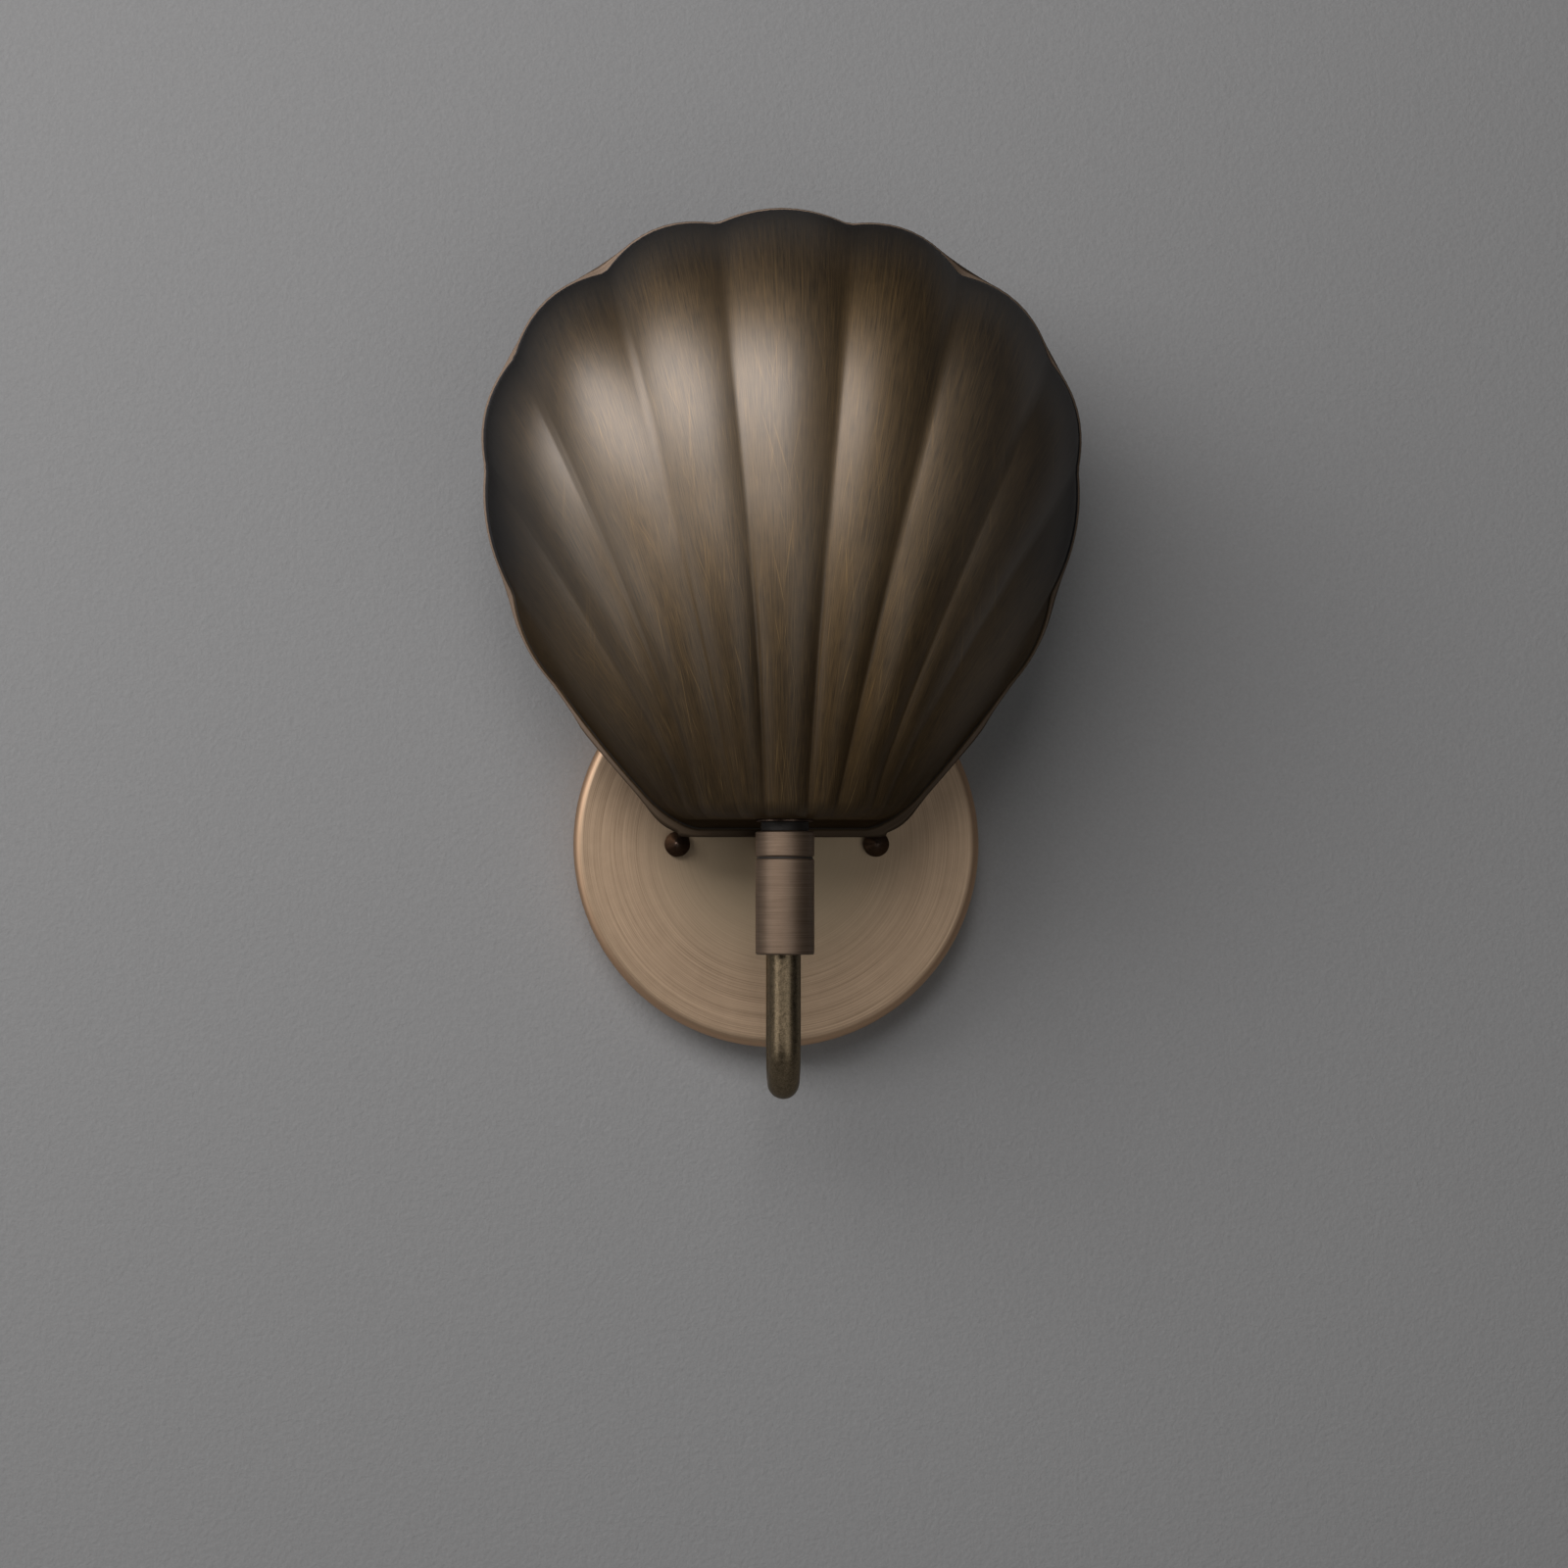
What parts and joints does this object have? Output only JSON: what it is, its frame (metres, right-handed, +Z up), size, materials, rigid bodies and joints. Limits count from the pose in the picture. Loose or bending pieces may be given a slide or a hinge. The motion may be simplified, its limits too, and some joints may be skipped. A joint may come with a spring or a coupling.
{
  "type": "wall sconce",
  "caption": "Wall light with a fluted scallop-shell metal shade, open towards the wall, on a swivel over a bent tube arm from a round canopy.",
  "frame": {"origin": "centre of the canopy's back, on the wall plane", "axes": "+X to the right seen from the room, +Y into the wall, +Z up; the shade faces -Y"},
  "size_m": [0.1968, 0.1406, 0.2924],
  "materials": {
    "shade_bronze": "aged bronze sheet, brushed along the flutes, clear-lacquered",
    "canopy_bronze": "aged bronze, brushed in rings, brighter rolled edge",
    "arm_bronze": "dark olive bronze tube, fine grain",
    "swivel_bronze": "lathe-turned aged bronze with fine rings",
    "dark_bronze": "oil-rubbed dark bronze",
    "black_collar": "black",
    "zinc_steel": "zinc-plated steel",
    "ground_green": "green ground screw",
    "socket_metal": "plain spun metal",
    "socket_black": "black moulded phenolic",
    "socket_brass": "plain brass",
    "bulb_nickel": "nickel-plated bulb base",
    "bulb_insulation": "black base insulator",
    "bulb_clear": "clear glass",
    "filament": "yellow filament rods"
  },
  "bodies": {
    "bracket": {"canopy": "canopy_bronze", "mounting_crossbar": "zinc_steel", "canopy_studs": "zinc_steel", "stud_lock_nuts": "zinc_steel", "cap_nuts": "dark_bronze", "ground_screw": "ground_green", "arm_tube": "arm_bronze", "arm_seat_ring": "arm_bronze", "arm_lock_washer": "zinc_steel", "arm_lock_nut": "zinc_steel", "swivel_barrel": "swivel_bronze", "swivel_bottom_bush": "zinc_steel", "swivel_seam_washer": "black_collar"},
    "shade_head": {"shade_shell": "shade_bronze", "swivel_head": "swivel_bronze", "neck_washer": "swivel_bronze", "neck_collar": "black_collar", "shade_lock_washer": "zinc_steel", "shade_lock_nut": "zinc_steel", "socket_cup_nut": "zinc_steel", "neck_nipple": "zinc_steel", "swivel_wave_washer": "zinc_steel", "swivel_retaining_nut": "zinc_steel", "socket_cup": "socket_metal", "socket_body": "socket_black", "socket_screw_shell": "socket_brass", "socket_contact": "socket_brass", "terminal_screws": "socket_brass"},
    "bulb": {"bulb_base": "bulb_nickel", "bulb_insulator": "bulb_insulation", "bulb_eyelet": "bulb_nickel", "bulb_glass": "bulb_clear", "bulb_stem": "bulb_clear", "bulb_filaments": "filament"}
  },
  "joints": [
    {"name": "shade_swivel", "type": "hinge", "parent": "bracket", "child": "shade_head", "pos_m": [0, -0.095, 0], "axis": [0, 0, 1], "range_deg": [-45, 45]},
    {"name": "bulb_lift", "type": "slide", "parent": "shade_head", "child": "bulb", "axis": [0, 0, 1], "range_m": [0, 0.024]}
  ]
}
